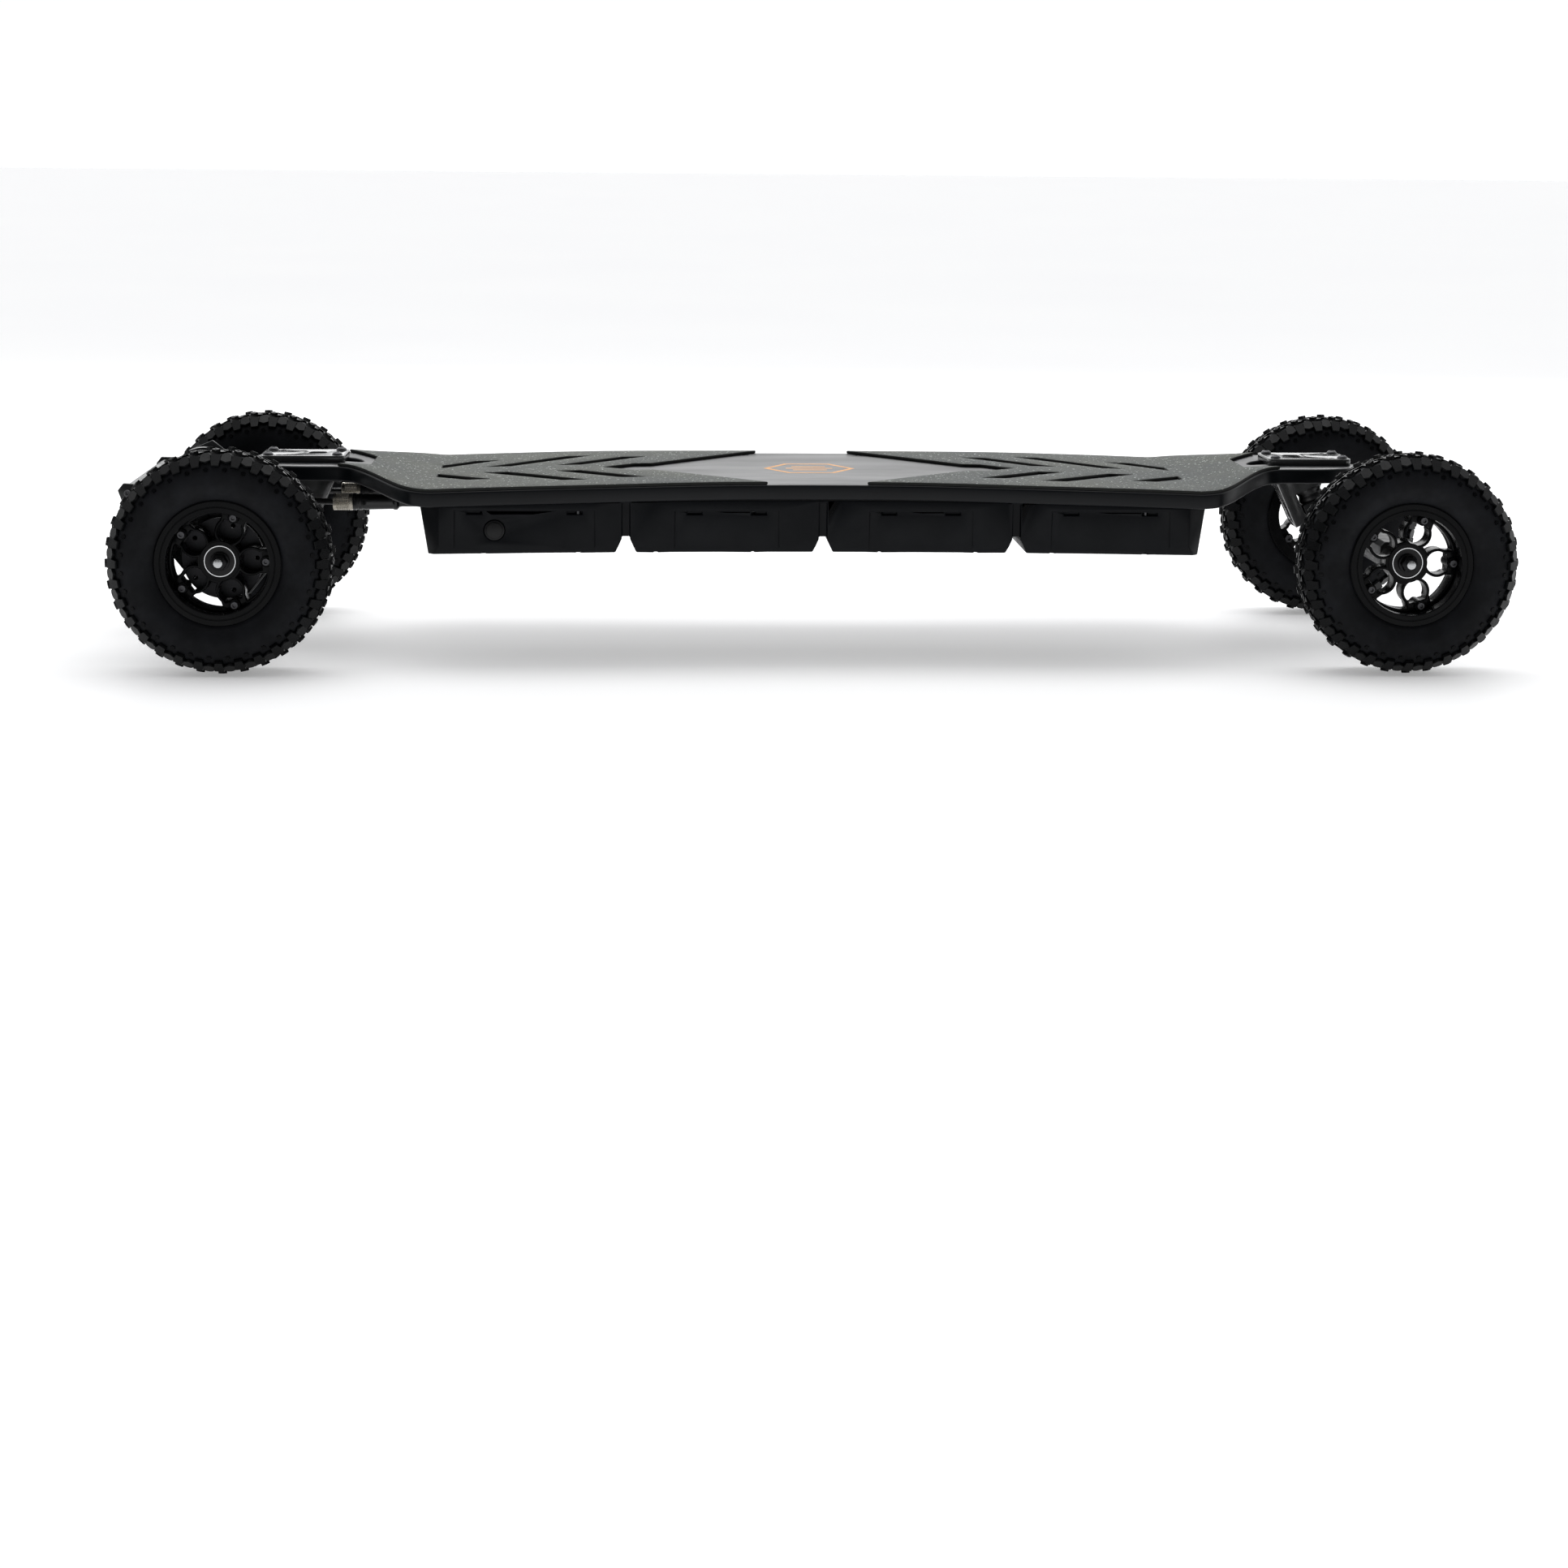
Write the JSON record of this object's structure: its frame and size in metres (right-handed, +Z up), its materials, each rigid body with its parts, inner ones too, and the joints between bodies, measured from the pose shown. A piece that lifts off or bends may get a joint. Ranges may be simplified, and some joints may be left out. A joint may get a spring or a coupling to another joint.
{
  "type": "electric skateboard",
  "caption": "All-terrain electric skateboard with a drop-through deck, battery tray, double-kingpin trucks, knobby pneumatic wheels and a geared rear motor drive.",
  "frame": {"origin": "on the ground under the middle of the wheelbase, on the board's centre line", "axes": "+X towards the nose, +Y to the left, +Z up"},
  "size_m": [1.254, 0.39, 0.2],
  "materials": {
    "deck_laminate": "black satin lacquer over a maple and fibre laminate",
    "grip_foam": "charcoal granular grip on foam",
    "maple_inlay": "bare maple veneer, matt lacquer",
    "tray_shell": "moulded black shell, fine texture",
    "gasket_rubber": "black foam rubber",
    "black_screw": "black oxide steel",
    "steel_bolt": "zinc plated steel",
    "cell_wrap": "blue shrink wrap",
    "circuit_board": "green circuit board with black parts",
    "heat_sink": "bare extruded aluminium",
    "port_metal": "nickel plated socket",
    "button_rubber": "black moulded button",
    "ferrule_nickel": "knurled nickel",
    "cable_jacket": "black cable jacket",
    "truck_anodised": "black anodised aluminium",
    "drive_case": "machined and anodised aluminium, dark grey",
    "motor_can": "gloss black motor can",
    "motor_core": "steel laminations with copper windings",
    "bushing_urethane": "cast urethane",
    "axle_steel": "plated steel",
    "tyre_rubber": "black off-road tyre with knobs",
    "rim_plastic": "black glass-filled nylon",
    "bearing_steel": "ground bearing steel",
    "gear_steel": "hardened gear steel"
  },
  "bodies": {
    "board": {"deck": "deck_laminate", "front_grip": "grip_foam", "rear_grip": "grip_foam", "deck_inlay": "maple_inlay", "battery_tray": "tray_shell", "tray_gasket": "gasket_rubber", "tray_screws": "black_screw", "battery_cells": "cell_wrap", "battery_board": "circuit_board", "speed_controller": "heat_sink", "charge_port": "port_metal", "cable_connectors": "ferrule_nickel", "cable_boots": "cable_jacket", "trunk_leads": "cable_jacket", "front_truck_base": "truck_anodised", "rear_truck_base": "truck_anodised", "truck_bolts": "steel_bolt", "inner_kingpins": "steel_bolt", "front_inner_bushings": "bushing_urethane", "rear_inner_bushings": "bushing_urethane"},
    "power_button": {"power_button": "button_rubber"},
    "front_arm": {"front_arm": "truck_anodised", "front_outer_kingpin": "steel_bolt", "front_outer_bushings": "bushing_urethane"},
    "rear_arm": {"rear_arm": "truck_anodised", "rear_outer_kingpin": "steel_bolt", "rear_outer_bushings": "bushing_urethane"},
    "front_hanger": {"front_hanger": "truck_anodised", "front_axles": "axle_steel"},
    "rear_hanger": {"rear_hanger": "truck_anodised", "rear_axles": "axle_steel", "gear_cases": "drive_case", "gear_covers": "drive_case", "motor_plates": "drive_case", "motor_stators": "motor_core", "rear_guard": "drive_case", "drive_screws": "steel_bolt", "motor_leads": "cable_jacket"},
    "front_right_wheel": {"front_right_tyre": "tyre_rubber", "front_right_rim": "rim_plastic", "front_right_bearings": "bearing_steel", "front_right_rim_bolts": "black_screw"},
    "front_left_wheel": {"front_left_tyre": "tyre_rubber", "front_left_rim": "rim_plastic", "front_left_bearings": "bearing_steel", "front_left_rim_bolts": "black_screw"},
    "rear_right_wheel": {"rear_right_tyre": "tyre_rubber", "rear_right_rim": "rim_plastic", "rear_right_bearings": "bearing_steel", "rear_right_rim_bolts": "black_screw", "right_wheel_gear": "gear_steel"},
    "rear_left_wheel": {"rear_left_tyre": "tyre_rubber", "rear_left_rim": "rim_plastic", "rear_left_bearings": "bearing_steel", "rear_left_rim_bolts": "black_screw", "left_wheel_gear": "gear_steel"},
    "right_idler": {"right_idler": "gear_steel"},
    "right_rotor": {"right_rotor": "motor_can"},
    "left_idler": {"left_idler": "gear_steel"},
    "left_rotor": {"left_rotor": "motor_can"}
  },
  "joints": [
    {"name": "button_press", "type": "slide", "parent": "board", "child": "power_button", "axis": [0, 1, 0], "range_m": [0, 0.0012], "stiffness_N_per_m": 400},
    {"name": "front_arm_lean", "type": "hinge", "parent": "board", "child": "front_arm", "pos_m": [0.482, 0, 0.132], "axis": [0.9063, 0, 0.4226], "range_deg": [-10, 10], "stiffness_Nm_per_rad": 140, "deforming": ["front_inner_bushings"]},
    {"name": "front_hanger_lean", "type": "hinge", "parent": "front_arm", "child": "front_hanger", "pos_m": [0.52595, 0, 0.11299], "axis": [0.9063, 0, 0.4226], "range_deg": [-10, 10], "stiffness_Nm_per_rad": 140, "deforming": ["front_outer_bushings"]},
    {"name": "rear_arm_lean", "type": "hinge", "parent": "board", "child": "rear_arm", "pos_m": [-0.482, 0, 0.132], "axis": [0.9063, 0, -0.4226], "range_deg": [-10, 10], "stiffness_Nm_per_rad": 140, "deforming": ["rear_inner_bushings"]},
    {"name": "rear_hanger_lean", "type": "hinge", "parent": "rear_arm", "child": "rear_hanger", "pos_m": [-0.52595, 0, 0.11299], "axis": [0.9063, 0, -0.4226], "range_deg": [-10, 10], "stiffness_Nm_per_rad": 140, "deforming": ["rear_outer_bushings"]},
    {"name": "front_right_spin", "type": "hinge", "parent": "front_hanger", "child": "front_right_wheel", "pos_m": [0.527, -0.167, 0.1], "axis": [0, 1, 0], "continuous": true},
    {"name": "front_left_spin", "type": "hinge", "parent": "front_hanger", "child": "front_left_wheel", "pos_m": [0.527, 0.167, 0.1], "axis": [0, 1, 0], "continuous": true},
    {"name": "rear_right_spin", "type": "hinge", "parent": "rear_hanger", "child": "rear_right_wheel", "pos_m": [-0.527, -0.167, 0.1], "axis": [0, 1, 0], "continuous": true},
    {"name": "rear_left_spin", "type": "hinge", "parent": "rear_hanger", "child": "rear_left_wheel", "pos_m": [-0.527, 0.167, 0.1], "axis": [0, 1, 0], "continuous": true},
    {"name": "right_idler_spin", "type": "hinge", "parent": "rear_hanger", "child": "right_idler", "pos_m": [-0.55891, -0.113, 0.12493], "axis": [0, 1, 0], "continuous": true},
    {"name": "right_rotor_spin", "type": "hinge", "parent": "rear_hanger", "child": "right_rotor", "pos_m": [-0.57664, -0.113, 0.13879], "axis": [0, 1, 0], "continuous": true},
    {"name": "left_idler_spin", "type": "hinge", "parent": "rear_hanger", "child": "left_idler", "pos_m": [-0.55891, 0.113, 0.12493], "axis": [0, 1, 0], "continuous": true},
    {"name": "left_rotor_spin", "type": "hinge", "parent": "rear_hanger", "child": "left_rotor", "pos_m": [-0.57664, 0.113, 0.13879], "axis": [0, 1, 0], "continuous": true}
  ],
  "couplings": [
    {"joint": "front_hanger_lean", "follows": "front_arm_lean", "ratio": 1},
    {"joint": "rear_hanger_lean", "follows": "rear_arm_lean", "ratio": 1},
    {"joint": "right_idler_spin", "follows": "rear_right_spin", "ratio": -2},
    {"joint": "right_rotor_spin", "follows": "rear_right_spin", "ratio": 3},
    {"joint": "left_idler_spin", "follows": "rear_left_spin", "ratio": -2},
    {"joint": "left_rotor_spin", "follows": "rear_left_spin", "ratio": 3}
  ]
}
